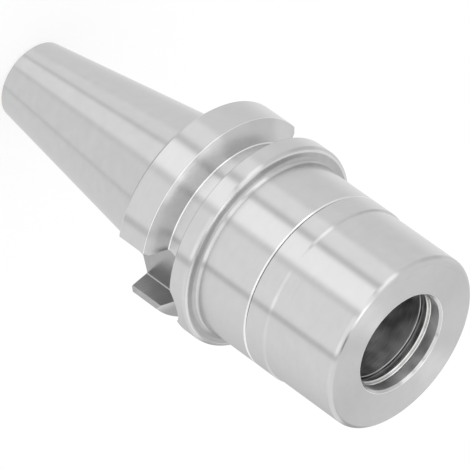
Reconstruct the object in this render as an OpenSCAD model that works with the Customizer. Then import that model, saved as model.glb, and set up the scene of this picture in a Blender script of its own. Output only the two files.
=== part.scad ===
// Collet chuck holder with a 7/24 spindle taper, a gripper flange and a round clamping nut.
// Millimetres. Z = 0 is the gauge line of the taper, on its axis, and +Z runs towards the nut.
// The two drive slots of the flange lie on the X axis.

/* [Spindle taper] */
// Diameter of the taper at the gauge line
gauge_d = 31.75; // [28:0.05:34]
// Length of the taper, from the gauge line to the small end
taper_length = 48.4; // [44:0.1:60]
// Chamfer on the rim of the small end
small_end_chamfer = 0.6; // [0.2:0.1:1]
// Diameter of the short neck between the taper and the flange
neck_d = 31.2; // [28:0.1:31.7]

/* [Pull stud hole] */
// Core diameter of the thread for the pull stud
stud_core_d = 10.2; // [8:0.1:11]
// Depth of the threaded hole, from the small end
stud_hole_depth = 34; // [28:0.5:38]
// Diameter of the pilot bore that centres the pull stud
stud_pilot_d = 12.5; // [11.5:0.1:14]
// Depth of the pilot bore
stud_pilot_depth = 7; // [4:0.5:12]
// Diameter of the coolant passage between the threaded hole and the collet seat
coolant_d = 8; // [4:0.5:8]

/* [Flange] */
// Outside diameter of the flange
flange_d = 46; // [45:0.5:60]
// Gap from the gauge line to the rear face of the flange
flange_gap = 2; // [1:0.5:4]
// Width of the flange, from its rear face to its front face
flange_w = 20; // [19:0.5:24]
// Chamfer on the flange's rear rim
flange_chamfer = 0.7; // [0.3:0.1:1]
// Radius on the flange's front rim
flange_round = 1; // [0.3:0.1:1]
// Middle of the gripper groove, from the gauge line
groove_middle = 13.7; // [13:0.1:15]
// Width of the gripper groove at the flange's rim
groove_w = 8.1; // [6.5:0.1:9]
// Depth of the gripper groove below the flange's rim
groove_depth = 4.4; // [3:0.1:5]
// Angle between the two flanks of the gripper groove
groove_angle = 60; // [50:1:70]
// Radius in the bottom corners of the gripper groove
groove_fillet = 0.4; // [0.2:0.1:1.2]
// Width of a drive slot
slot_w = 16.1; // [12:0.1:17]
// Distance from the axis to the floor of a drive slot
slot_floor = 16.3; // [16:0.1:19]
// Distance from the gauge line to the round end of a drive slot
slot_end = 19.5; // [18:0.1:20.5]
// Chamfer along the straight rims of a drive slot
slot_chamfer = 0.7; // [0.2:0.1:1.2]

/* [Body] */
// Diameter of the body
body_d = 40; // [36:0.5:40.5]
// Radius in the corner between the flange and the body
body_fillet = 1.2; // [0.3:0.1:1.2]
// Distance from the gauge line to the shoulder that the nut screws down to
shoulder_z = 36.4; // [30:0.1:40]
// Chamfer on the rims at the seam between body and nut
seam_chamfer = 0.3; // [0.1:0.05:0.6]

/* [Collet seat and thread] */
// Gap between the front face of the seat and the thrust ring
nose_gap = 0.5; // [0.2:0.1:2]
// Diameter of the collet seat at the front face
seat_d = 21.6; // [18:0.1:22.4]
// Angle of the collet seat, from wall to wall
seat_angle = 8; // [6:0.5:9]
// Depth of the tapered collet seat
seat_depth = 44; // [30:1:46]
// Depth of the straight clearance behind the collet seat
clearance_depth = 8; // [2:1:12]
// Chamfer on the mouth of the collet seat
seat_chamfer = 0.3; // [0.1:0.1:0.6]
// Outside diameter of the nose thread
thread_d = 32; // [30:0.5:33]
// Pitch of the nose thread
thread_pitch = 1.5; // [1:0.25:2]
// Gap between nose thread and nut, on the radius
thread_clearance = 0.1; // [0.05:0.05:0.2]
// Diameter of the undercut behind the nose thread
undercut_d = 29.4; // [27:0.2:30]
// Width of the undercut
undercut_w = 2.5; // [1:0.5:4]
// Chamfer at the start of the nose thread
thread_chamfer = 0.9; // [0.3:0.1:1.5]

/* [Clamping nut] */
// Length of the nut, from the shoulder to its front face
nut_length = 23.6; // [20:0.1:30]
// Width of the full-size band at the rear of the nut
band_w = 5; // [2:0.1:10]
// Length of the slope between the band and the smaller barrel
band_slope = 0.5; // [0.2:0.1:1]
// Diameter of the nut in front of the band
barrel_d = 39.4; // [37:0.1:39.8]
// Radius on the front rim of the nut
nut_round = 1; // [0.3:0.1:2]
// Diameter of the mouth
mouth_d = 21.8; // [20:0.1:23]
// Chamfer on the mouth
mouth_chamfer = 0.6; // [0.2:0.1:1.2]
// Thickness of the nut's front wall
front_wall = 2.9; // [2.6:0.1:3.2]

/* [Thrust bearing] */
// Diameter of a ball
ball_d = 2; // [1.5:0.1:2.2]
// Diameter of the circle that the ball centres lie on
race_d = 26.8; // [26.4:0.1:27.2]
// Spare length between neighbouring balls
ball_spacing = 0.1; // [0.05:0.05:0.4]
// Gap between a ball and the races that it runs in
race_clearance = 0.05; // [0.03:0.01:0.1]
// Gap between the faces of nut and thrust ring
face_gap = 0.15; // [0.1:0.05:0.3]
// Diameter of the land inside the thrust ring
land_d = 21.2; // [20:0.1:21.6]
// Length of the land
land_w = 0.35; // [0.2:0.05:0.6]
// Size of the chamfer in front of the land
lip_chamfer = 0.65; // [0.4:0.05:0.8]
// Thickness of the thrust ring
ring_h = 2.05; // [1.95:0.05:2.2]
// Gap between thrust ring and nut, on the radius
ring_clearance = 0.2; // [0.1:0.05:0.3]
// Thickness of the retaining wire
wire_d = 0.8; // [0.6:0.05:0.9]
// Gap between retaining wire and thrust ring
wire_gap = 0.05; // [0.03:0.01:0.1]
// Play of the retaining wire in its groove
wire_play = 0.02; // [0.01:0.01:0.05]
// Opening between the ends of the retaining wire, in degrees
wire_opening = 16; // [8:1:40]

/* [Hidden] */
$fn = 96;
over = 1;

// The standard slope of the spindle taper, on the diameter
taper_ratio = 7 / 24;
small_end_d = gauge_d - taper_length * taper_ratio;
flange_front = flange_gap + flange_w;
groove_d = flange_d - 2 * groove_depth;
groove_floor_w = groove_w - 2 * groove_depth * tan(groove_angle / 2);
seat_bottom_d = seat_d - 2 * seat_depth * tan(seat_angle / 2);
drill_tip_angle = 118;
// Nose thread and nut are drawn at the thread's pitch diameter
thread_pitch_d = thread_d - 0.6495 * thread_pitch;
nut_bore_d = thread_pitch_d + 2 * thread_clearance;
nut_front = shoulder_z + nut_length;
pocket_top = nut_front - front_wall;
ring_top = pocket_top - face_gap;
ring_bottom = ring_top - ring_h;
nose_z = ring_bottom - nose_gap;
seat_bottom = nose_z - seat_depth;
race_z = (pocket_top + ring_top) / 2;
ball_count = floor(PI * race_d / (ball_d + ball_spacing));
ring_d = nut_bore_d - 2 * ring_clearance;
wire_z = ring_bottom + wire_d / 2;
rabbet_d = nut_bore_d - wire_d - 4 * wire_gap;
rabbet_top = wire_z + wire_d / 2 + wire_gap;

// Half section of a round piece, from its outline, turned about the Z axis
module turned() {
    rotate_extrude() children();
}

// What lies between a corner and an arc of radius r that touches both its walls. The walls leave
// the corner in directions a and b. Added, it fills an inside corner. Cut away, it rounds a rim.
module corner_piece(corner, a, b, r) {
    half = abs(b - a) / 2;
    mid = (a + b) / 2;
    reach = r / tan(half);
    centre = r / sin(half) * [cos(mid), sin(mid)];
    translate(corner) difference() {
        polygon([[0, 0], reach * [cos(a), sin(a)], centre, reach * [cos(b), sin(b)]]);
        translate(centre) circle(r);
    }
}

// Outline of the taper, the flange with its gripper groove, and the body
module holder_outline() {
    c = flange_chamfer;
    g0 = groove_middle - groove_w / 2;
    g1 = groove_middle + groove_w / 2;
    f0 = groove_middle - groove_floor_w / 2;
    f1 = groove_middle + groove_floor_w / 2;
    difference() {
        polygon([
            [0, -taper_length],
            [small_end_d / 2 - small_end_chamfer, -taper_length],
            [(small_end_d + small_end_chamfer * taper_ratio) / 2, -taper_length + small_end_chamfer],
            [gauge_d / 2, 0],
            [neck_d / 2, (gauge_d - neck_d) / 2],
            [neck_d / 2, flange_gap],
            [flange_d / 2 - c, flange_gap],
            [flange_d / 2, flange_gap + c],
            [flange_d / 2, g0],
            [groove_d / 2, f0],
            [groove_d / 2, f1],
            [flange_d / 2, g1],
            [flange_d / 2, flange_front],
            [body_d / 2, flange_front],
            [body_d / 2, shoulder_z - seam_chamfer],
            [body_d / 2 - seam_chamfer, shoulder_z],
            [0, shoulder_z],
        ]);
        corner_piece([flange_d / 2, flange_front], -90, -180, flange_round);
    }
    flank = groove_angle / 2;
    corner_piece([groove_d / 2, f0], -flank, 90, groove_fillet);
    corner_piece([groove_d / 2, f1], -90, flank, groove_fillet);
    corner_piece([body_d / 2, flange_front], 0, 90, body_fillet);
}

// Outline of the threaded nose that the nut screws on
module nose_outline() {
    r = thread_pitch_d / 2;
    thread_start = shoulder_z + undercut_w;
    slope = r - undercut_d / 2;
    polygon([
        [0, shoulder_z - over],
        [undercut_d / 2, shoulder_z - over],
        [undercut_d / 2, thread_start],
        [r, thread_start + slope],
        [r, nose_z - thread_chamfer],
        [r - thread_chamfer, nose_z],
        [0, nose_z],
    ]);
}

// The space inside: pull stud hole, coolant passage, clearance and collet seat
module holder_bore() {
    stud_bottom = -taper_length + stud_hole_depth;
    tip = (stud_core_d - coolant_d) / 2 / tan(drill_tip_angle / 2);
    pilot_bottom = -taper_length + stud_pilot_depth;
    lead_in = (stud_pilot_d - stud_core_d) / 2;
    polygon([
        [0, -taper_length - over],
        [stud_pilot_d / 2, -taper_length - over],
        [stud_pilot_d / 2, pilot_bottom],
        [stud_core_d / 2, pilot_bottom + lead_in / 2],
        [stud_core_d / 2, stud_bottom],
        [coolant_d / 2, stud_bottom + tip],
        [coolant_d / 2, seat_bottom - clearance_depth],
        [seat_bottom_d / 2, seat_bottom - clearance_depth],
        [seat_bottom_d / 2, seat_bottom],
        [seat_d / 2 - seat_chamfer * tan(seat_angle / 2), nose_z - seat_chamfer],
        [seat_d / 2 + seat_chamfer, nose_z],
        [seat_d / 2 + seat_chamfer, nose_z + over],
        [0, nose_z + over],
    ]);
}

// One drive slot on the +X side, open to the rear, with a round end. Only its straight rims are
// chamfered.
module drive_slot() {
    half = slot_w / 2;
    reach = flange_d / 2 + over;
    rim = sqrt(pow(flange_d / 2, 2) - half * half) - slot_chamfer;
    flare = reach - rim;
    round_z = slot_end - half;
    linear_extrude(round_z) polygon([
        [slot_floor, -half],
        [rim, -half],
        [reach, -half - flare],
        [reach, half + flare],
        [rim, half],
        [slot_floor, half],
    ]);
    translate([slot_floor, 0, round_z]) rotate([0, 90, 0]) cylinder(h = reach - slot_floor, r = half);
}

// One turned and ground piece of steel: taper, flange, body, threaded nose and collet seat
module holder_body() {
    color("gainsboro") difference() {
        turned() difference() {
            union() {
                holder_outline();
                nose_outline();
            }
            holder_bore();
        }
        drive_slot();
        mirror([1, 0, 0]) drive_slot();
    }
}

// Outside of the nut, with its full-size rear band, smaller barrel and rounded front rim
module nut_outline() {
    band_top = shoulder_z + band_w;
    difference() {
        polygon([
            [0, shoulder_z],
            [body_d / 2 - seam_chamfer, shoulder_z],
            [body_d / 2, shoulder_z + seam_chamfer],
            [body_d / 2, band_top],
            [barrel_d / 2, band_top + band_slope],
            [barrel_d / 2, nut_front],
            [0, nut_front],
        ]);
        corner_piece([barrel_d / 2, nut_front], -90, -180, nut_round);
    }
}

// Space inside the nut: threaded bore up to the front wall, then the mouth
module nut_bore() {
    r = nut_bore_d / 2;
    polygon([
        [0, shoulder_z - over],
        [r + thread_chamfer, shoulder_z - over],
        [r + thread_chamfer, shoulder_z],
        [r, shoulder_z + thread_chamfer],
        [r, pocket_top],
        [mouth_d / 2, pocket_top],
        [mouth_d / 2, nut_front - mouth_chamfer],
        [mouth_d / 2 + mouth_chamfer, nut_front],
        [mouth_d / 2 + mouth_chamfer, nut_front + over],
        [0, nut_front + over],
    ]);
    translate([race_d / 2, race_z]) circle(ball_d / 2 + race_clearance);
    translate([r, wire_z]) circle(wire_d / 2 + wire_play);
}

// Round nut that screws over the nose and presses the collet into its seat
module clamping_nut() {
    color("lightgray") turned() difference() {
        nut_outline();
        nut_bore();
    }
}

// Ring that bears on the collet and stands still while the nut turns on the balls
module thrust_ring() {
    land_top = ring_top - lip_chamfer * 1.2;
    land_bottom = land_top - land_w;
    flare = (land_bottom - ring_bottom) * tan(30);
    color("silver") turned() difference() {
        polygon([
            [land_d / 2, land_bottom],
            [land_d / 2 + flare, ring_bottom],
            [rabbet_d / 2, ring_bottom],
            [rabbet_d / 2, rabbet_top],
            [ring_d / 2, rabbet_top],
            [ring_d / 2, ring_top],
            [land_d / 2 + lip_chamfer, ring_top],
            [land_d / 2, land_top],
        ]);
        translate([race_d / 2, race_z]) circle(ball_d / 2 + race_clearance);
    }
}

// Full row of loose balls between the thrust ring and the nut
module thrust_balls() {
    color("whitesmoke") for (i = [0 : ball_count - 1])
        rotate([0, 0, i * 360 / ball_count])
            translate([race_d / 2, 0, race_z]) sphere(d = ball_d);
}

// Open ring of spring wire that keeps the thrust ring in the nut
module retaining_wire() {
    color("dimgray") rotate([0, 0, wire_opening / 2])
        rotate_extrude(angle = 360 - wire_opening)
            translate([nut_bore_d / 2, wire_z]) circle(d = wire_d);
}

holder_body();
clamping_nut();
thrust_ring();
thrust_balls();
retaining_wire();
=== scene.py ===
"""Collet chuck holder in ground steel, standing on its small end: taper, gripper flange, body and nut."""

import math

import bmesh
import bpy
from mathutils import Matrix, Vector


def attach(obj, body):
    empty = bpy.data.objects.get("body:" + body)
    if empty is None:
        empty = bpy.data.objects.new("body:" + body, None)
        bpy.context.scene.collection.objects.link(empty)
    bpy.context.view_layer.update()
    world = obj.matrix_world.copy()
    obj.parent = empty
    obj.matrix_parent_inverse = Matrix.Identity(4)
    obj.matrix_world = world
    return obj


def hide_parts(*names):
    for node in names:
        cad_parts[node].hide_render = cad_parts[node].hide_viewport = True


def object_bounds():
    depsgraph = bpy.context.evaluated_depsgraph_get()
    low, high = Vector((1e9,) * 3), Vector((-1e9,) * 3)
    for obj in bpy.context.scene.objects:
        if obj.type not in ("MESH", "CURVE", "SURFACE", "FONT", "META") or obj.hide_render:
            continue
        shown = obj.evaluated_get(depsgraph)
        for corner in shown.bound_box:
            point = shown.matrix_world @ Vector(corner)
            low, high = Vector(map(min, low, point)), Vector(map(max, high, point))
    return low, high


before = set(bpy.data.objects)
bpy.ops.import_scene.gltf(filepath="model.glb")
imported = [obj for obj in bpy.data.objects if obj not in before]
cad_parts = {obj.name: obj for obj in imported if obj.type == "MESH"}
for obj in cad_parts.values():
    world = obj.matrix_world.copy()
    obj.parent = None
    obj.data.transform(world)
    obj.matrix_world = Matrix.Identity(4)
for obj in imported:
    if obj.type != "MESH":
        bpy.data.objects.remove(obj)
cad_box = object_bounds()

# Camera
# A long lens, well back from the holder. It looks down past the nut's face onto the flange, and it
# is rolled, so that the upright holder lies across the picture with its nut at the lower right.
MM = 0.001
AIM = Vector((1.528, 0.720, 13.877)) * MM
VIEW_AZIMUTH = math.radians(25.422)
VIEW_ELEVATION = math.radians(31.983)
VIEW_ROLL = math.radians(125.695)
VIEW_DISTANCE = 1235.32 * MM
FOCAL_LENGTH = 471.37

camera = bpy.data.objects.new("camera", bpy.data.cameras.new("camera"))
camera.data.lens = FOCAL_LENGTH
camera.data.clip_start = 0.1
camera.data.clip_end = 20
to_camera = Vector((
    math.sin(VIEW_AZIMUTH) * math.cos(VIEW_ELEVATION),
    -math.cos(VIEW_AZIMUTH) * math.cos(VIEW_ELEVATION),
    math.sin(VIEW_ELEVATION),
))
station = Matrix.Translation(AIM + to_camera * VIEW_DISTANCE)
upright = (-to_camera).to_track_quat("-Z", "Y").to_matrix().to_4x4()
camera.matrix_world = station @ upright @ Matrix.Rotation(VIEW_ROLL, 4, "Z")
bpy.context.scene.collection.objects.link(camera)
bpy.context.scene.camera = camera
bpy.context.scene.view_settings.view_transform = "Standard"

# Floor and light
# A white floor under a white room. Tall soft boxes with narrow gaps between them stand all round,
# and they draw the lengthwise bands that ground steel shows.
FLOOR_Z = cad_box[0].z
FLOOR_HALF = 3.0
FLOOR_GLOW = 1.02
SHADOW_SHARE = 0.25


def linear(code):
    """An sRGB hex colour as linear red, green, blue and alpha."""
    parts = [int(code[i : i + 2], 16) / 255 for i in (1, 3, 5)]
    return [c / 12.92 if c <= 0.04045 else ((c + 0.055) / 1.055) ** 2.4 for c in parts] + [1]


def add(tree, kind, inputs=None, **settings):
    """Adds a node, sets its fields and fills its inputs with values or with other nodes' outputs."""
    made = tree.nodes.new(kind)
    for field, value in settings.items():
        setattr(made, field, value)
    for key, value in (inputs or {}).items():
        if isinstance(value, bpy.types.NodeSocket):
            tree.links.new(value, made.inputs[key])
        else:
            made.inputs[key].default_value = value
    return made


# White matt floor: it glows evenly, so it stays white, and a share of it takes the holder's soft
# shadow. The metal's reflections look through it.
floor_material = bpy.data.materials.new("white_floor")
floor_material.use_nodes = True
tree = floor_material.node_tree
tree.nodes.clear()
light_path = add(tree, "ShaderNodeLightPath")
glow = add(tree, "ShaderNodeEmission", {"Color": linear("#FFFFFF"), "Strength": FLOOR_GLOW})
matt = add(tree, "ShaderNodeBsdfDiffuse", {"Color": linear("#FFFFFF")})
clear = add(tree, "ShaderNodeBsdfTransparent")
lit = add(tree, "ShaderNodeMixShader", {0: SHADOW_SHARE, 1: glow.outputs[0], 2: matt.outputs[0]})
seen = add(tree, "ShaderNodeMixShader", {
    0: light_path.outputs["Is Glossy Ray"], 1: lit.outputs[0], 2: clear.outputs[0],
})
add(tree, "ShaderNodeOutputMaterial", {"Surface": seen.outputs[0]})

floor_corners = [(x * FLOOR_HALF, y * FLOOR_HALF, FLOOR_Z) for x, y in ((-1, -1), (1, -1), (1, 1), (-1, 1))]
floor_mesh = bpy.data.meshes.new("floor")
floor_mesh.from_pydata(floor_corners, [], [(0, 1, 2, 3)])
floor_mesh.materials.append(floor_material)
floor = bpy.data.objects.new("floor", floor_mesh)
bpy.context.scene.collection.objects.link(floor)

# What polished metal finds round it: a white room of level ROOM, and the light boxes and black cards
# in it. Each is placed by the metal that shows it to the camera: by the side that this metal faces,
# round from the camera's, and by its tilt above level. The numbers are the side, half width and soft
# edge, the tilt, half height and soft edge, all in degrees, and the brightness added or taken.
ROOM = 0.86
ROOM_SIDE = math.degrees(VIEW_AZIMUTH) - 90
SOFT_BOXES = {
    "main box, low": (-9.5, 7.9, 2.2, 2.5, 9.5, 4, 0.45),
    "main box, high": (-7.7, 6.3, 2.0, 54, 42, 5, 0.36),
    "main box, bright edge": (-4.5, 2.5, 1.5, 35, 22, 8, 0.08),
    "left box, low": (-27.4, 5.8, 2.5, 2, 10, 5, 0.20),
    "left box, middle": (-28.4, 5.0, 2.2, 33, 22, 9, 0.52),
    "left box, high": (-20.5, 3.6, 2.0, 45, 19, 12, 0.42),
    "left box, top": (-25, 8, 2, 72, 10, 10, 0.14),
    "left gap": (-19.5, 1.9, 1.2, 0, 12, 6, -0.13),
    "right box, low": (15.6, 12.9, 1.5, 2, 7.5, 4, 0.16),
    "right box, high": (15.6, 12.9, 1.5, 29.5, 20, 6, 0.28),
    "right box, bright edge": (24, 5, 3, 26, 16, 8, 0.12),
    "right gap": (30.3, 1.8, 1.1, 24, 32, 6, -0.18),
    "far right box": (75, 42.7, 1.8, 42, 46, 5, 0.13),
    "far right box, middle": (44, 10, 8, 26, 10, 12, 0.07),
    "far right box, high": (60, 14, 8, 58, 8, 10, 0.06),
    "far right card, low": (107, 35, 32, 8, 13, 8, -0.46),
    "far right card, side": (104, 14, 6, 55, 25, 8, -0.45),
    "far right card, high": (85, 10, 10, 82, 10, 10, -0.24),
    "far left box": (-40, 6, 6, 0, 6, 6, 0.06),
    "far left box, low": (-80, 13, 8, -1, 11, 5, 0.10),
    "far left card": (-62.5, 10, 3, 36, 22, 12, -0.09),
    "far left card, wide": (-56, 16, 8, 32, 16, 12, -0.07),
    "rear left box": (-82, 8, 3, 58, 10, 10, 0.08),
    "ceiling strip": (-1.0, 7.0, 4, 73, 12, 7, 0.60),
    "ceiling strip, far end": (6.5, 9.5, 3.0, 82, 6, 5, 0.68),
    "ceiling card": (20.5, 6, 3, 75, 12, 5, -0.62),
    "overhead spot": (3, 8, 2, 58.5, 3.5, 2, 0.8),
    "overhead card": (88, 30, 25, 85, 8, 5, -0.17),
    "left sill": (-45, 45, 3, -9, 3, 2.5, 0.04),
    "right sill": (57, 22, 5, -9, 3, 2.5, 0.03),
    "sill gap": (1, 2.6, 1.4, -9, 3, 2, -0.07),
    "dark floor": (0, 190, 5, -75, 17, 3, -0.5),
}

world = bpy.data.worlds.new("white_room")
bpy.context.scene.world = world
world.use_nodes = True
tree = world.node_tree
tree.nodes.clear()
toward = add(tree, "ShaderNodeTexCoord").outputs["Generated"]
mirror = add(tree, "ShaderNodeVectorMath", {0: toward, 1: to_camera}, operation="ADD")
facing = add(tree, "ShaderNodeSeparateXYZ", {0: mirror.outputs[0]})
heading = add(tree, "ShaderNodeMath", {0: facing.outputs["Y"], 1: facing.outputs["X"]}, operation="ARCTAN2")
heading = add(tree, "ShaderNodeMath", {0: heading.outputs[0]}, operation="DEGREES")
flat = add(tree, "ShaderNodeCombineXYZ", {"X": facing.outputs["X"], "Y": facing.outputs["Y"]})
flat = add(tree, "ShaderNodeVectorMath", {0: flat.outputs[0]}, operation="LENGTH")
tilt = add(tree, "ShaderNodeMath", {0: facing.outputs["Z"], 1: flat.outputs["Value"]}, operation="ARCTAN2")
tilt = add(tree, "ShaderNodeMath", {0: tilt.outputs[0]}, operation="DEGREES")
level = ROOM
for name, (side, half_width, side_edge, rise, half_height, rise_edge, added) in SOFT_BOXES.items():
    away = add(tree, "ShaderNodeMath", {0: heading.outputs[0], 1: side + ROOM_SIDE}, operation="SUBTRACT")
    away = add(tree, "ShaderNodeMath", {0: away.outputs[0], 1: 180}, operation="PINGPONG")
    across = add(
        tree, "ShaderNodeMapRange",
        {0: away.outputs[0], 1: half_width + side_edge, 2: half_width - side_edge, 3: 0.0, 4: added},
        interpolation_type="SMOOTHSTEP", name=name,
    )
    above = add(tree, "ShaderNodeMath", {0: tilt.outputs[0], 1: rise}, operation="SUBTRACT")
    above = add(tree, "ShaderNodeMath", {0: above.outputs[0]}, operation="ABSOLUTE")
    upward = add(
        tree, "ShaderNodeMapRange",
        {0: above.outputs[0], 1: half_height + rise_edge, 2: half_height - rise_edge, 3: 0.0, 4: 1.0},
        interpolation_type="SMOOTHSTEP",
    )
    level = add(
        tree, "ShaderNodeMath", {0: across.outputs[0], 1: upward.outputs[0], 2: level},
        operation="MULTIPLY_ADD",
    ).outputs[0]

# Only reflections find the boxes. The picture's background is plain white.
light_path = add(tree, "ShaderNodeLightPath")
boxes = add(tree, "ShaderNodeBackground", {"Color": linear("#FFFFFF"), "Strength": level})
plain = add(tree, "ShaderNodeBackground", {"Color": linear("#FFFFFF"), "Strength": 1.0})
shown = add(tree, "ShaderNodeMixShader", {
    0: light_path.outputs["Is Glossy Ray"], 1: plain.outputs[0], 2: boxes.outputs[0],
})
add(tree, "ShaderNodeOutputWorld", {"Surface": shown.outputs[0]})

# Holder body
# One piece of case-hardened steel, turned from bar, then ground on the taper, flange and body. Two
# drive slots are milled into the flange, and the nose carries a cut thread for the nut. Sizes are in
# mm, and heights start from the taper's gauge line.
EDGE_BREAK = 0.12
TAPER_SLOPE = 7 / 48
GAUGE_R = 15.875
SMALL_END_Z = -48.4
SMALL_END_R = GAUGE_R + SMALL_END_Z * TAPER_SLOPE
SMALL_END_CHAMFER = 0.6
NECK_R = 15.6
FLANGE_R = 23.0
FLANGE_REAR = 2.0
FLANGE_FRONT = 22.0
FLANGE_CHAMFER = 0.7
FLANGE_ROUND = 1.0
GROOVE_MIDDLE = 13.7
GROOVE_HALF = 4.05
GROOVE_DEPTH = 4.4
GROOVE_FLOOR_R = FLANGE_R - GROOVE_DEPTH
GROOVE_FLOOR_HALF = GROOVE_HALF - GROOVE_DEPTH * math.tan(math.radians(30))
GROOVE_REAR, GROOVE_FRONT = GROOVE_MIDDLE - GROOVE_HALF, GROOVE_MIDDLE + GROOVE_HALF
GROOVE_FLOOR_REAR, GROOVE_FLOOR_FRONT = GROOVE_MIDDLE - GROOVE_FLOOR_HALF, GROOVE_MIDDLE + GROOVE_FLOOR_HALF
# The groove's rear flank is crowned by a few hundredths of a millimetre
CROWN_R = (FLANGE_R + GROOVE_FLOOR_R) / 2 + 0.04
CROWN_Z = (GROOVE_REAR + GROOVE_FLOOR_REAR) / 2 + 0.07
CROWN_ROUND = 40
BODY_R = 20.0
BODY_FILLET = 1.2
SHOULDER_Z = 36.4
SEAM_GAP = 0.2
SEAM_REAR = SHOULDER_Z - SEAM_GAP
SEAM_DEPTH = 0.9
SEAM_BEVEL = 0.3
UNDERCUT_R = 14.7
UNDERCUT_END = SHOULDER_Z + 2.5
UNDERCUT_CONE = 0.4
THREAD_ROOT_R = 15.08
NOSE_Z = 54.4
NOSE_CHAMFER = 0.5
SEAT_R = 10.8
SEAT_BREAK = 0.13
SEAT_BOTTOM = 10.4
SEAT_BOTTOM_R = SEAT_R - (NOSE_Z - SEAT_BOTTOM) * math.tan(math.radians(4))
CLEARANCE_BOTTOM = 2.4
COOLANT_R = 4.0
STUD_HOLE_TOP = -14.4
DRILL_POINT = 0.66
STUD_CORE_R = 5.1
STUD_ROOT_R = 5.98
STUD_THREAD_TOP = -24.4
STUD_RUN_OUT = 0.5
PILOT_R = 6.25
PILOT_TOP = -41.4
PILOT_CONE = 0.15

# How finely edges are rounded, what counts as no corner, and where the shading breaks
FACET_TURN = math.radians(11)
STRAIGHT = math.radians(179)
SHARP_EDGE = math.radians(24)
FLAT_FACE_WEIGHT = 80


def rounded(outline):
    """An outline of (radius, height, edge radius) corners in mm, as points with every edge rounded."""
    points = []
    count = len(outline)
    for i, (r, z, edge) in enumerate(outline):
        here = Vector((r, z))
        before = (Vector(outline[i - 1][:2]) - here).normalized()
        after = (Vector(outline[(i + 1) % count][:2]) - here).normalized()
        opening = before.angle(after)
        if edge == 0 or opening > STRAIGHT:
            points.append(here)
            continue
        reach = edge / math.tan(opening / 2)
        centre = here + (before + after).normalized() * (edge / math.sin(opening / 2))
        start = here + before * reach - centre
        sweep = start.angle_signed(here + after * reach - centre)
        steps = max(2, math.ceil(abs(sweep) / FACET_TURN))
        for k in range(steps + 1):
            turn = Matrix.Rotation(-sweep * k / steps, 2)
            points.append(centre + turn @ start)
    return points


def solid(name, vertices, faces):
    """A new object of points in metres, with its faces turned outwards."""
    mesh = bpy.data.meshes.new(name)
    mesh.from_pydata(vertices, [], faces)
    shell = bmesh.new()
    shell.from_mesh(mesh)
    bmesh.ops.recalc_face_normals(shell, faces=shell.faces)
    shell.to_mesh(mesh)
    shell.free()
    made = bpy.data.objects.new(name, mesh)
    bpy.context.scene.collection.objects.link(made)
    return made


def turned(name, outline, steps=384):
    """A closed outline turned about the Z axis."""
    points = [(p[0] * MM, p[1] * MM) for p in rounded(outline)]
    count = len(points)
    spokes = [(math.cos(math.tau * k / steps), math.sin(math.tau * k / steps)) for k in range(steps)]
    vertices = [(r * c, r * s, z) for c, s in spokes for r, z in points]
    faces = []
    for k in range(steps):
        a = k * count
        b = (k + 1) % steps * count
        for i in range(count):
            j = (i + 1) % count
            faces.append((a + i, b + i, b + j, a + j))
    return solid(name, vertices, faces)


def settled(piece):
    """Turns a piece's modifiers into plain mesh."""
    bpy.context.view_layer.update()
    final = bpy.data.meshes.new_from_object(piece.evaluated_get(bpy.context.evaluated_depsgraph_get()))
    piece.modifiers.clear()
    piece.data = final


def finished(piece, body, replaced):
    """Smooths a piece between its sharp edges, makes it ride on its body and hides the part that it stands
    for.
    """
    piece.data.set_sharp_from_angle(angle=SHARP_EDGE)
    for polygon in piece.data.polygons:
        polygon.use_smooth = True
    weighted = piece.modifiers.new("even_normals", "WEIGHTED_NORMAL")
    weighted.keep_sharp = True
    weighted.weight = FLAT_FACE_WEIGHT
    settled(piece)
    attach(piece, body)
    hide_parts(replaced)


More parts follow.
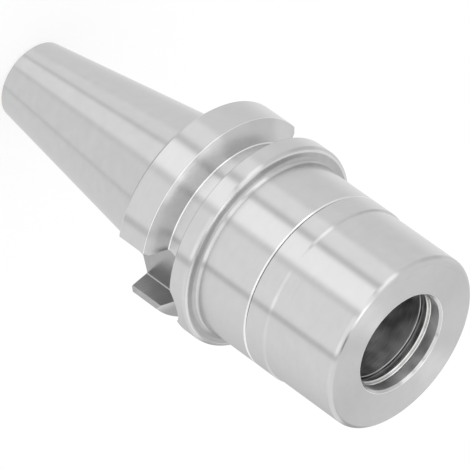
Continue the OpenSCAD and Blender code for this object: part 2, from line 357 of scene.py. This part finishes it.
holder_outline = [
    (PILOT_R, SMALL_END_Z, EDGE_BREAK),
    (SMALL_END_R - SMALL_END_CHAMFER, SMALL_END_Z, EDGE_BREAK),
    (SMALL_END_R + SMALL_END_CHAMFER * TAPER_SLOPE, SMALL_END_Z + SMALL_END_CHAMFER, EDGE_BREAK),
    (GAUGE_R, 0, EDGE_BREAK),
    (NECK_R, GAUGE_R - NECK_R, EDGE_BREAK),
    (NECK_R, FLANGE_REAR, 0.3),
    (FLANGE_R - FLANGE_CHAMFER, FLANGE_REAR, EDGE_BREAK),
    (FLANGE_R, FLANGE_REAR + FLANGE_CHAMFER, EDGE_BREAK),
    (FLANGE_R, GROOVE_REAR, EDGE_BREAK),
    (CROWN_R, CROWN_Z, CROWN_ROUND),
    (GROOVE_FLOOR_R, GROOVE_FLOOR_REAR, 0.3),
    (GROOVE_FLOOR_R, GROOVE_FLOOR_FRONT, 0.4),
    (FLANGE_R, GROOVE_FRONT, 0.15),
    (FLANGE_R, FLANGE_FRONT, FLANGE_ROUND),
    (BODY_R, FLANGE_FRONT, BODY_FILLET),
    (BODY_R, SEAM_REAR - SEAM_BEVEL, 0.06),
    (BODY_R - SEAM_BEVEL, SEAM_REAR, 0.06),
    (BODY_R - SEAM_DEPTH, SEAM_REAR, 0),
    (BODY_R - SEAM_DEPTH, SHOULDER_Z, 0),
    (UNDERCUT_R, SHOULDER_Z, 0.2),
    (UNDERCUT_R, UNDERCUT_END, 0.2),
    (THREAD_ROOT_R, UNDERCUT_END + UNDERCUT_CONE, 0),
    (THREAD_ROOT_R, NOSE_Z - NOSE_CHAMFER, 0),
    (THREAD_ROOT_R - NOSE_CHAMFER, NOSE_Z, EDGE_BREAK),
    (SEAT_R + SEAT_BREAK, NOSE_Z, 0.03),
    (SEAT_R, NOSE_Z - SEAT_BREAK, 0.03),
    (SEAT_BOTTOM_R, SEAT_BOTTOM, 0),
    (SEAT_BOTTOM_R, CLEARANCE_BOTTOM, 0.3),
    (COOLANT_R, CLEARANCE_BOTTOM, EDGE_BREAK),
    (COOLANT_R, STUD_HOLE_TOP + DRILL_POINT, 0),
    (STUD_CORE_R, STUD_HOLE_TOP, 0),
    (STUD_CORE_R, STUD_THREAD_TOP + STUD_RUN_OUT, 0),
    (STUD_ROOT_R, STUD_THREAD_TOP, 0),
    (STUD_ROOT_R, PILOT_TOP + PILOT_CONE, 0),
    (PILOT_R, PILOT_TOP, 0),
]
holder = turned("holder_body_ground", holder_outline)

# The steel's finishes. Grinding and turning marks are finer than a pixel, so each is drawn as coarse
# as it needs to show, with grain of them to the millimetre. On a cylinder they are told apart by
# height, on a flat face by radius, and on a cone by both.
MARKS_ROUND = 3.0
RADIUS_SHARE = 0.7
MARK_DEPTH = 0.002
NOISE_LOW, NOISE_HIGH = 0.3, 0.7
TONE_LOW, TONE_HIGH = 0.7, 1.3


def lay(tree, grain):
    """Coordinates that follow the machining marks: grain of them to the mm, each drawn out round the axis."""
    place = add(tree, "ShaderNodeSeparateXYZ", {0: add(tree, "ShaderNodeTexCoord").outputs["Object"]})
    flat = add(tree, "ShaderNodeCombineXYZ", {"X": place.outputs["X"], "Y": place.outputs["Y"]})
    radius = add(tree, "ShaderNodeVectorMath", {0: flat.outputs[0]}, operation="LENGTH")
    spoke = add(tree, "ShaderNodeVectorMath", {0: flat.outputs[0]}, operation="NORMALIZE")
    stretch = (MARKS_ROUND, MARKS_ROUND, 0)
    sweep = add(tree, "ShaderNodeVectorMath", {0: spoke.outputs[0], 1: stretch}, operation="MULTIPLY")
    slant = add(
        tree, "ShaderNodeMath", {0: radius.outputs["Value"], 1: RADIUS_SHARE, 2: place.outputs["Z"]},
        operation="MULTIPLY_ADD",
    )
    step = add(tree, "ShaderNodeMath", {0: slant.outputs[0], 1: grain / MM}, operation="MULTIPLY")
    rise = add(tree, "ShaderNodeCombineXYZ", {"Z": step.outputs[0]})
    laid = add(tree, "ShaderNodeVectorMath", {0: sweep.outputs[0], 1: rise.outputs[0]}, operation="ADD")
    return laid.outputs[0]


def steel(name, colours, roughness, grain, bump, anisotropy, patchy=0.05, patch=2.5):
    """Bare steel with circular machining marks, and a gloss that varies in patches of so many mm."""
    made = bpy.data.materials.new(name)
    made.use_nodes = True
    tree = made.node_tree
    tree.nodes.clear()
    marks = add(tree, "ShaderNodeTexNoise", {
        "Vector": lay(tree, grain), "Scale": 1.0, "Detail": 3.0, "Roughness": 0.6,
    })
    place = add(tree, "ShaderNodeTexCoord").outputs["Object"]
    patches = add(tree, "ShaderNodeTexNoise", {"Vector": place, "Scale": 1 / (patch * MM), "Detail": 1.0})
    rough = add(tree, "ShaderNodeMapRange", {
        0: patches.outputs[0], 1: NOISE_LOW, 2: NOISE_HIGH,
        3: roughness * (1 - patchy), 4: roughness * (1 + patchy),
    })
    low, high = linear(colours[0]), linear(colours[1])
    mixed = add(tree, "ShaderNodeMath", {0: marks.outputs[0], 1: patches.outputs[0]}, operation="ADD")
    tone = add(tree, "ShaderNodeMapRange", {0: mixed.outputs[0], 1: TONE_LOW, 2: TONE_HIGH})
    shade = add(tree, "ShaderNodeMix", {0: tone.outputs[0], 6: low, 7: high}, data_type="RGBA")
    relief = add(tree, "ShaderNodeBump", {
        "Height": marks.outputs[0], "Strength": bump, "Distance": MARK_DEPTH * MM,
    })
    along = add(tree, "ShaderNodeTangent", direction_type="RADIAL", axis="Z")
    surface = add(tree, "ShaderNodeBsdfPrincipled", {
        "Base Color": shade.outputs[2],
        "Metallic": 1.0,
        "Roughness": rough.outputs[0],
        "Anisotropic": anisotropy,
        "Anisotropic Rotation": 0.25,
        "Normal": relief.outputs[0],
        "Tangent": along.outputs[0],
    })
    add(tree, "ShaderNodeOutputMaterial", {"Surface": surface.outputs[0]})
    return made


# Ground steel: even satin grey. The wheel's fine marks run round the axis, so each reflection is
# drawn out lengthwise and stays crisp across.
ground_steel = steel(
    "ground_tool_steel", ("#CDCDCD", "#D1D1D1"), roughness=0.2, grain=4.0, bump=0.08, anisotropy=0.9,
)
# Fine-turned steel: the groove's flanks and floor. Reflections spread across a flank and stay crisp
# round the axis.
groove_steel = steel(
    "fine_turned_groove_steel", ("#CDCDCD", "#D1D1D1"), roughness=0.21, grain=4.0, bump=0.08, anisotropy=0.95,
)
# Dull-turned steel: the narrow shoulder between flange and body, rougher as the tool cut it, and coloured a
# darker grey as painted shade at the body's foot
shoulder_shade_steel = steel(
    "dull_turned_painted_shade_steel", ("#B6B6B6", "#BEBEBE"), roughness=0.3, grain=4.0, bump=0.2, anisotropy=0.4,
)
# Painted highlight: the top of the flange's rounded corner, coloured a little lighter than the ground steel
# so that it shows brighter
corner_highlight_steel = steel(
    "painted_highlight_corner_steel", ("#DDDDDD", "#E3E3E3"), roughness=0.2, grain=4.0, bump=0.08, anisotropy=0.9,
)
# Milled steel: the slots' floors, some broken edges and the pull stud's thread. The cutter leaves them darker
# and rougher than the ground faces. On the groove's front rim the darker grey is painted shade, drawn as a
# thin dark line.
milled_steel_and_shade_line = steel(
    "milled_tool_steel_and_shade_line", ("#A6A6A6", "#B0B0B0"), roughness=0.24, grain=3.0, bump=0.2, anisotropy=0.3,
)
# Side-milled steel: the slots' walls, cut by the flank of the cutter and duller than their floors, and
# coloured a darker grey as painted shade inside the slots
side_milled_shaded_steel = steel(
    "side_milled_shaded_steel", ("#8C8C8C", "#969696"), roughness=0.34, grain=3.0, bump=0.2, anisotropy=0.3,
)
# Honed steel: the seat and the other bores, the nose's end and the thrust ring's underside. Fine
# crossed scratches scatter the light, so they look grey and grainy.
honed_steel = steel(
    "honed_bore_steel", ("#A0A0A0", "#E4E4E4"), roughness=0.36, grain=6.0, bump=1.0, anisotropy=0.6,
    patchy=0.22, patch=4.0,
)
# Painted highlights: narrow bevels and edge rounds coloured near white, so they show as thin bright lines
edge_highlight_steel = steel(
    "painted_highlight_edge_steel", ("#F0F0F0", "#F4F4F4"), roughness=0.2, grain=4.0, bump=0.05, anisotropy=0.3,
)


# A painted stretch reaches this far past the faces that it is meant for
PAST = 0.1
# Where the painted shade on the flange's shoulder starts
SHOULDER_SHADE_FROM = BODY_R + 0.35
# Where the painted highlight on the flange's rounded corner ends
CORNER_HIGHLIGHT_TO = FLANGE_R - FLANGE_ROUND / 2


def paint(piece, finish, radii, heights):
    """Gives a finish to the faces whose middles lie between two radii and two heights, in mm."""
    if finish.name not in piece.data.materials:
        piece.data.materials.append(finish)
    index = piece.data.materials.find(finish.name)
    for polygon in piece.data.polygons:
        radius = Vector(polygon.center[:2]).length / MM
        if radii[0] < radius < radii[1] and heights[0] < polygon.center.z / MM < heights[1]:
            polygon.material_index = index


def near(middle, reach=PAST):
    """The limits that lie so far to either side of a radius or a height."""
    return middle - reach, middle + reach


holder.data.materials.append(ground_steel)
paint(holder, honed_steel, (0, SEAT_R), (0, NOSE_Z - SEAT_BREAK))
paint(holder, honed_steel, (0, PILOT_R + PAST), (SMALL_END_Z + PAST, 0))
paint(holder, milled_steel_and_shade_line, (SEAT_R, SEAT_R + SEAT_BREAK), (NOSE_Z - SEAT_BREAK, NOSE_Z))
paint(holder, honed_steel, (SEAT_R + SEAT_BREAK, THREAD_ROOT_R - NOSE_CHAMFER), near(NOSE_Z))
paint(holder, groove_steel, (GROOVE_FLOOR_R - PAST, FLANGE_R - PAST), (GROOVE_REAR, GROOVE_FRONT))
# Painted shade on the flange's shoulder at the body's foot
paint(holder, shoulder_shade_steel, (SHOULDER_SHADE_FROM, FLANGE_R - FLANGE_ROUND), near(FLANGE_FRONT, BODY_FILLET / 2))
# Painted highlight on the top of the flange's rounded corner
paint(holder, corner_highlight_steel, (FLANGE_R - FLANGE_ROUND, CORNER_HIGHLIGHT_TO), near(FLANGE_FRONT, 2 * PAST))
# Painted highlight on the bevel at the seam between body and nut
paint(holder, edge_highlight_steel, (BODY_R - SEAM_BEVEL, BODY_R), (SEAM_REAR - SEAM_BEVEL, SEAM_REAR))
# Painted highlight on the groove's rear rim
paint(holder, edge_highlight_steel, near(FLANGE_R), near(GROOVE_REAR))
# Painted shade: the groove's front rim is coloured darker, so that it shows as a thin dark line
paint(holder, milled_steel_and_shade_line, near(FLANGE_R), near(GROOVE_FRONT))
# Painted highlight on the rear corner of the groove's floor
paint(holder, edge_highlight_steel, near(GROOVE_FLOOR_R, 2 * PAST), near(GROOVE_FLOOR_REAR, 2 * PAST))

# The drive slots: U-shaped, open to the rear, with chamfered straight walls
SLOT_FLOOR = 16.3
SLOT_HALF = 8.05
SLOT_END = 19.5
SLOT_CHAMFER = 1.1
SLOT_CORNER = 0.32
CUTTER_REAR = 1.0
CUTTER_REACH = 25.0
ARC_STEPS = 48
WALL_LEAN = 0.1


def cutter_from(name, rings):
    """A closed cutter from rings of as many points each, in mm."""
    count = len(rings[0])
    vertices = [tuple(c * MM for c in point) for ring in rings for point in ring]
    faces = [tuple(range(count)), tuple(range(len(vertices) - count, len(vertices)))]
    for ring in range(len(rings) - 1):
        a = ring * count
        for i in range(count):
            j = (i + 1) % count
            faces.append((a + i, a + j, a + count + j, a + count + i))
    return solid(name, vertices, faces)


def slot_cutters(side):
    """A drive slot's two cuts: the U-shaped slot, and the chamfer along its straight walls."""
    round_z = SLOT_END - SLOT_HALF
    arc = [math.pi * k / ARC_STEPS for k in range(ARC_STEPS + 1)]
    corner = [(SLOT_FLOOR, 0, 0), (SLOT_FLOOR, SLOT_HALF, SLOT_CORNER), (CUTTER_REACH, SLOT_HALF, 0)]
    rings = []
    for x, half in [p for p in rounded(corner) if p[1] > 0]:
        bow = [(half * math.cos(a), round_z + half * math.sin(a)) for a in arc]
        around = [(half, CUTTER_REAR), *bow, (-half, CUTTER_REAR)]
        rings.append([(side * x, side * y, z) for y, z in around])
    rim = math.sqrt(FLANGE_R**2 - SLOT_HALF**2) - SLOT_CHAMFER
    flare = SLOT_HALF + CUTTER_REACH - rim
    section = [(rim, -SLOT_HALF), (CUTTER_REACH, -flare), (CUTTER_REACH, flare), (rim, SLOT_HALF)]
    wedge = [[(side * x, side * y, z) for x, y in section] for z in (CUTTER_REAR, round_z)]
    return [cutter_from("slot_cutter", rings), cutter_from("slot_chamfer_cutter", wedge)]


cutters = slot_cutters(1) + slot_cutters(-1)
for cutter in cutters:
    cutter.data.materials.append(milled_steel_and_shade_line)
    cutter.data.materials.append(side_milled_shaded_steel)
    # The slots' walls take the side-milled steel with its painted shade, the floors the milled steel
    for polygon in cutter.data.polygons:
        is_wall = abs(polygon.normal.x) < WALL_LEAN
        polygon.material_index = int(is_wall)
    cut = holder.modifiers.new("slot", "BOOLEAN")
    cut.object = cutter
    cut.solver = "EXACT"
    cut.material_mode = "TRANSFER"
settled(holder)
for cutter in cutters:
    bpy.data.objects.remove(cutter)

# The threads: the nose's for the nut and the pull stud's. Each is one ridge, its foot sunk a little
# into the root cylinder, thinning out at both ends.
NOSE_THREAD = {"pitch": 1.5, "depth": 0.87, "root_width": 1.28, "crest_width": 0.2}
STUD_THREAD = {"pitch": 1.75, "depth": STUD_ROOT_R - STUD_CORE_R, "root_width": 1.5, "crest_width": 0.3}
NOSE_THREAD_START = 39.6
STUD_THREAD_START = -40.4
OUTWARD, INWARD = 1, -1
SUNK = 0.06
TURN_STEPS = 72
RUN_OUT_TURNS = 0.35
RUN_OUT_SCALE = 0.15


def thread_tree():
    """A thread's ridge, wound round the Z axis and joined to the piece that it is cut on."""
    tree = bpy.data.node_groups.new("thread_ridge", "GeometryNodeTree")
    tree.interface.new_socket("Piece", in_out="INPUT", socket_type="NodeSocketGeometry")
    names = ("Flank radius", "Pitch", "Turns", "Start height", "Depth", "Root width", "Crest width", "Facing")
    for name in names:
        tree.interface.new_socket(name, in_out="INPUT", socket_type="NodeSocketFloat")
    tree.interface.new_socket("Finish", in_out="INPUT", socket_type="NodeSocketMaterial")
    tree.interface.new_socket("Piece", in_out="OUTPUT", socket_type="NodeSocketGeometry")
    given = add(tree, "NodeGroupInput").outputs
    rise = add(tree, "ShaderNodeMath", {0: given["Pitch"], 1: given["Turns"]}, operation="MULTIPLY")
    spiral = add(tree, "GeometryNodeCurveSpiral", {
        "Resolution": TURN_STEPS, "Rotations": given["Turns"], "Start Radius": given["Flank radius"],
        "End Radius": given["Flank radius"], "Height": rise.outputs[0], "Reverse": True,
    })
    level = add(tree, "GeometryNodeSetCurveNormal", {"Curve": spiral.outputs[0]}, mode="Z_UP")
    share = add(tree, "GeometryNodeSplineParameter")
    from_end = add(tree, "ShaderNodeMath", {0: share.outputs["Factor"], 1: 0.5}, operation="PINGPONG")
    turn = add(tree, "ShaderNodeMath", {0: from_end.outputs[0], 1: given["Turns"]}, operation="MULTIPLY")
    run_out = add(tree, "ShaderNodeMapRange", {
        0: turn.outputs[0], 1: 0.0, 2: RUN_OUT_TURNS, 3: RUN_OUT_SCALE, 4: 1.0,
    })
    section = add(tree, "GeometryNodeCurvePrimitiveQuadrilateral", {
        "Bottom Width": given["Root width"], "Top Width": given["Crest width"],
        "Height": given["Depth"], "Offset": 0.0,
    }, mode="TRAPEZOID")
    angle = add(tree, "ShaderNodeCombineXYZ", {"Z": given["Facing"]})
    placed = add(tree, "GeometryNodeTransform", {
        "Geometry": section.outputs[0], "Rotation": angle.outputs[0],
    })
    ridge = add(tree, "GeometryNodeCurveToMesh", {
        "Curve": level.outputs[0], "Profile Curve": placed.outputs[0],
        "Scale": run_out.outputs[0], "Fill Caps": True,
    })
    start = add(tree, "ShaderNodeCombineXYZ", {"Z": given["Start height"]})
    raised = add(tree, "GeometryNodeTransform", {
        "Geometry": ridge.outputs[0], "Translation": start.outputs[0],
    })
    real = add(tree, "GeometryNodeRealizeInstances", {0: raised.outputs[0]})
    faced = add(tree, "GeometryNodeSetMaterial", {"Geometry": real.outputs[0], "Material": given["Finish"]})
    joined = add(tree, "GeometryNodeJoinGeometry")
    tree.links.new(given["Piece"], joined.inputs[0])
    tree.links.new(faced.outputs[0], joined.inputs[0])
    result = add(tree, "NodeGroupOutput")
    tree.links.new(joined.outputs[0], result.inputs[0])
    return tree


THREAD_TREE = thread_tree()


def threaded(piece, finish, facing, root_r, start, turns, pitch, depth, root_width, crest_width):
    """Winds a thread on a piece, its ridge facing outward or inward. Lengths are in mm."""
    given = {
        "Flank radius": (root_r + facing * (depth - SUNK) / 2) * MM,
        "Pitch": pitch * MM,
        "Turns": turns,
        "Start height": start * MM,
        "Depth": (depth + SUNK) * MM,
        "Root width": root_width * MM,
        "Crest width": crest_width * MM,
        "Facing": math.radians(90 * facing),
        "Finish": finish,
    }
    wound = piece.modifiers.new("thread", "NODES")
    wound.node_group = THREAD_TREE
    for socket in THREAD_TREE.interface.items_tree:
        if socket.in_out == "INPUT" and socket.name in given:
            wound[socket.identifier] = given[socket.name]
    settled(piece)


threaded(holder, ground_steel, OUTWARD, THREAD_ROOT_R, NOSE_THREAD_START, turns=9.2, **NOSE_THREAD)
threaded(holder, milled_steel_and_shade_line, INWARD, STUD_ROOT_R, STUD_THREAD_START, turns=8.6, **STUD_THREAD)
finished(holder, "holder", "holder_body")

# Clamping nut
# A plain round nut, turned and ground like the body. Its rear band has the body's full diameter and
# its barrel is a little smaller. It is driven by a roller wrench, so it has no flats or notches.
NUT_REAR_BREAK = 0.13
NUT_FRONT = 60.0
BAND_TOP = 41.4
BAND_STEP = 0.5
BARREL_R = 19.7
BARREL_ROUND = 1.0
MOUTH_R = 10.9
MOUTH_CHAMFER = 0.5
MOUTH_BREAK = 0.3
POCKET_R = 15.61
POCKET_TOP = 57.1
POCKET_BOTTOM = 54.6
POCKET_CONE = 0.5
NUT_ROOT_R = 16.1
LEAD_IN = 0.4
WIRE_Z = 55.3
WIRE_GROOVE_DEPTH = 0.4
WIRE_GROOVE_RIM_HALF = 0.4
WIRE_GROOVE_FLOOR_HALF = 0.3
RACE_R = 13.4
RACE_Z = 57.025
RACE_SECTION = [(-1.05, 0.075), (-0.7, 0.755), (0, 1.045), (0.7, 0.755), (1.05, 0.075)]


def race(side):
    """The corners of the balls' race above them (1) or below them (-1)."""
    return [(RACE_R + side * across, RACE_Z + side * away, 0) for across, away in RACE_SECTION]


nut_outline = [
    (NUT_ROOT_R + LEAD_IN, SHOULDER_Z, EDGE_BREAK),
    (BODY_R - SEAM_BEVEL, SHOULDER_Z, 0.05),
    (BODY_R, SHOULDER_Z + NUT_REAR_BREAK, 0.04),
    (BODY_R, BAND_TOP, 0.3),
    (BARREL_R, BAND_TOP + BAND_STEP, 0.3),
    (BARREL_R, NUT_FRONT, BARREL_ROUND),
    (MOUTH_R + MOUTH_CHAMFER, NUT_FRONT, 0.12),
    (MOUTH_R, NUT_FRONT - MOUTH_CHAMFER, 0.05),
    (MOUTH_R, POCKET_TOP + MOUTH_BREAK, 0.03),
    (MOUTH_R + MOUTH_BREAK, POCKET_TOP, 0.03),
    *race(1),
    (POCKET_R, POCKET_TOP, 0.1),
    (POCKET_R, WIRE_Z + WIRE_GROOVE_RIM_HALF, 0),
    (POCKET_R + WIRE_GROOVE_DEPTH, WIRE_Z + WIRE_GROOVE_FLOOR_HALF, 0),
    (POCKET_R + WIRE_GROOVE_DEPTH, WIRE_Z - WIRE_GROOVE_FLOOR_HALF, 0),
    (POCKET_R, WIRE_Z - WIRE_GROOVE_RIM_HALF, 0),
    (POCKET_R, POCKET_BOTTOM, 0),
    (NUT_ROOT_R, POCKET_BOTTOM - POCKET_CONE, 0),
    (NUT_ROOT_R, SHOULDER_Z + LEAD_IN, 0),
]
nut = turned("clamping_nut_ground", nut_outline)

# Turned steel: the mouth and the space behind it are left as the lathe tool cut them, duller and
# less even than the ground outside
turned_steel = steel(
    "turned_tool_steel", ("#CCCCCC", "#D6D6D6"), roughness=0.38, grain=4.0, bump=0.2, anisotropy=0.9,
    patchy=0.25, patch=4.0,
)
nut.data.materials.append(ground_steel)
paint(nut, turned_steel, (0, NUT_ROOT_R + PAST), (SHOULDER_Z, NUT_FRONT - MOUTH_CHAMFER))
# Painted highlight on the outer edge of the mouth's chamfer
paint(nut, edge_highlight_steel, near(MOUTH_R + MOUTH_CHAMFER), near(NUT_FRONT))

# The nut's ridge starts half a pitch out of step with the nose's, so that the two mesh
NUT_THREAD_START = NOSE_THREAD_START - 1.5 * NOSE_THREAD["pitch"]
threaded(nut, turned_steel, INWARD, NUT_ROOT_R, NUT_THREAD_START, turns=10.6, **NOSE_THREAD)
finished(nut, "nut", "clamping_nut")

# Thrust ring
# A hardened ring inside the nut that bears on the collet. Its lip shows through the mouth, with
# fine turned rings. It stands still while the nut turns round it.
RING_TOP = 56.95
RING_BOTTOM = 54.9
RING_R = 15.41
RABBET_R = 15.11
RABBET_TOP = 55.75
LAND_R = 10.75
SKIRT_BOTTOM = RING_BOTTOM - 0.3
SKIRT_IN, SKIRT_OUT = LAND_R + 0.48, LAND_R + 1.2
SKIRT_SLOPE = 0.2
LIP_HEIGHT = 0.75

# The lip's steps, with two fine turned ridges between them: how far out from the land, how far down
# from the ring's top, and the round on the edge
LIP_STEPS = [
    (0.53, 0, 0.04),
    (0.35, 0.23, 0.02),
    (0.42, 0.31, 0),
    (0.30, 0.33, 0.02),
    (0.24, 0.41, 0.02),
    (0.28, 0.47, 0),
    (0.19, 0.49, 0.02),
    (0, 0.71, 0.02),
    (0, 1.13, 0.05),
]

ring_outline = [
    (SKIRT_IN, SKIRT_BOTTOM, 0.04),
    (SKIRT_OUT, SKIRT_BOTTOM, 0.04),
    (SKIRT_OUT + SKIRT_SLOPE, RING_BOTTOM, 0),
    (RABBET_R, RING_BOTTOM, EDGE_BREAK),
    (RABBET_R, RABBET_TOP, 0.05),
    (RING_R, RABBET_TOP, 0.05),
    (RING_R, RING_TOP, 0.1),
    *race(-1),
    *[(LAND_R + out, RING_TOP - down, edge) for out, down, edge in LIP_STEPS],
]
ring = turned("thrust_ring_ground", ring_outline, steps=256)

# Ring steel: turned bright, lighter than the body
ring_steel = steel(
    "turned_ring_steel", ("#DCDCDB", "#E4E4E3"), roughness=0.22, grain=5.0, bump=0.1, anisotropy=0.3,
)
ring.data.materials.append(ring_steel)
paint(ring, honed_steel, (0, RABBET_R - PAST), (SKIRT_BOTTOM - PAST, RING_TOP - LIP_HEIGHT))
finished(ring, "bearing", "thrust_ring")

# Balls and retaining wire
# Bearing balls in one full row between ring and nut, and the spring wire that holds the ring in.
# Both are the frame's own solids and only take their finish here.

# Polished ball steel: close to a mirror, with hardly a mark
ball_steel = steel(
    "polished_ball_steel", ("#E0E0E2", "#E6E6E8"), roughness=0.06, grain=8.0, bump=0.05, anisotropy=0.0,
)
# Drawn spring wire: dark and dull, scored by the die
wire_steel = steel(
    "drawn_wire_steel", ("#6E6E70", "#7A7A7C"), roughness=0.35, grain=4.0, bump=0.3, anisotropy=0.0,
)
for name, finish in (("thrust_balls", ball_steel), ("retaining_wire", wire_steel)):
    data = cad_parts[name].data
    data.materials.clear()
    data.materials.append(finish)
